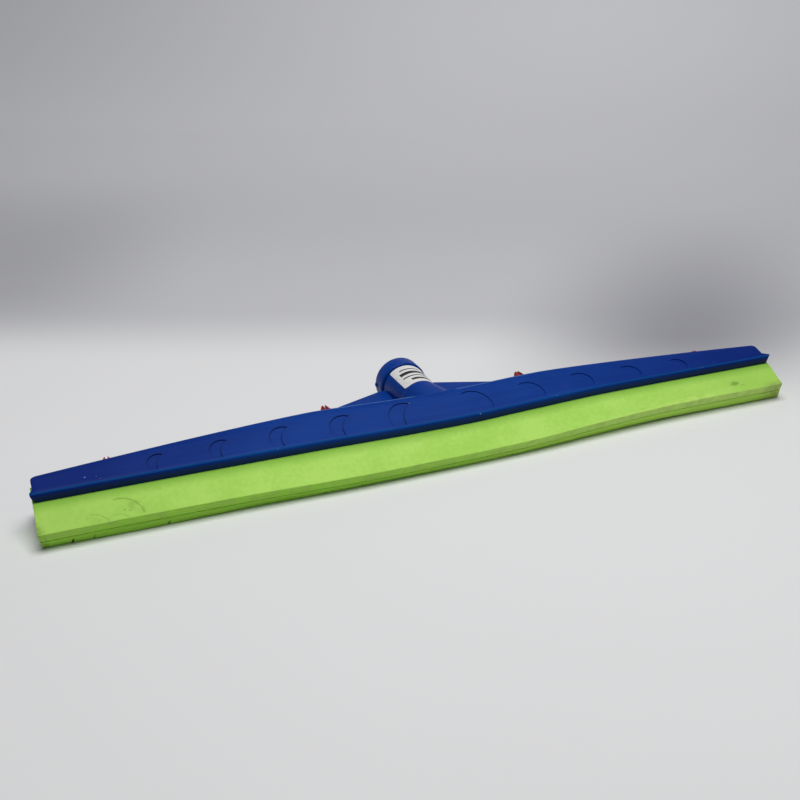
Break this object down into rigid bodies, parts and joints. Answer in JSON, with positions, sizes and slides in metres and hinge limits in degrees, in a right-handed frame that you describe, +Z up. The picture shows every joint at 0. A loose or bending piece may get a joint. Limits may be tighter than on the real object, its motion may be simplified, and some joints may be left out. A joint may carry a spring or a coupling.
{
  "type": "floor squeegee head",
  "caption": "Wide floor squeegee head: moulded plastic frame with a handle socket, clamping a double foam wiping blade held by split snap rivets.",
  "frame": {"origin": "on the floor, under the middle of the whole head as it lies at rest on its foam edge and socket rim", "axes": "+X along the blade, +Y from the foam towards the handle socket, +Z up"},
  "size_m": [0.55, 0.1108, 0.0367],
  "materials": {
    "frame_plastic": "moulded polypropylene, satin",
    "blade_foam": "closed-cell foam, fine skin, scuffed edge",
    "rivet_plastic": "moulded nylon",
    "label_paper": "coated paper, blank"
  },
  "bodies": {
    "root": {"frame": "frame_plastic", "front_foam_blade": "blade_foam", "rear_foam_blade": "blade_foam", "snap_rivet_1": "rivet_plastic", "snap_rivet_2": "rivet_plastic", "snap_rivet_3": "rivet_plastic", "snap_rivet_4": "rivet_plastic", "socket_label": "label_paper"}
  },
  "joints": []
}
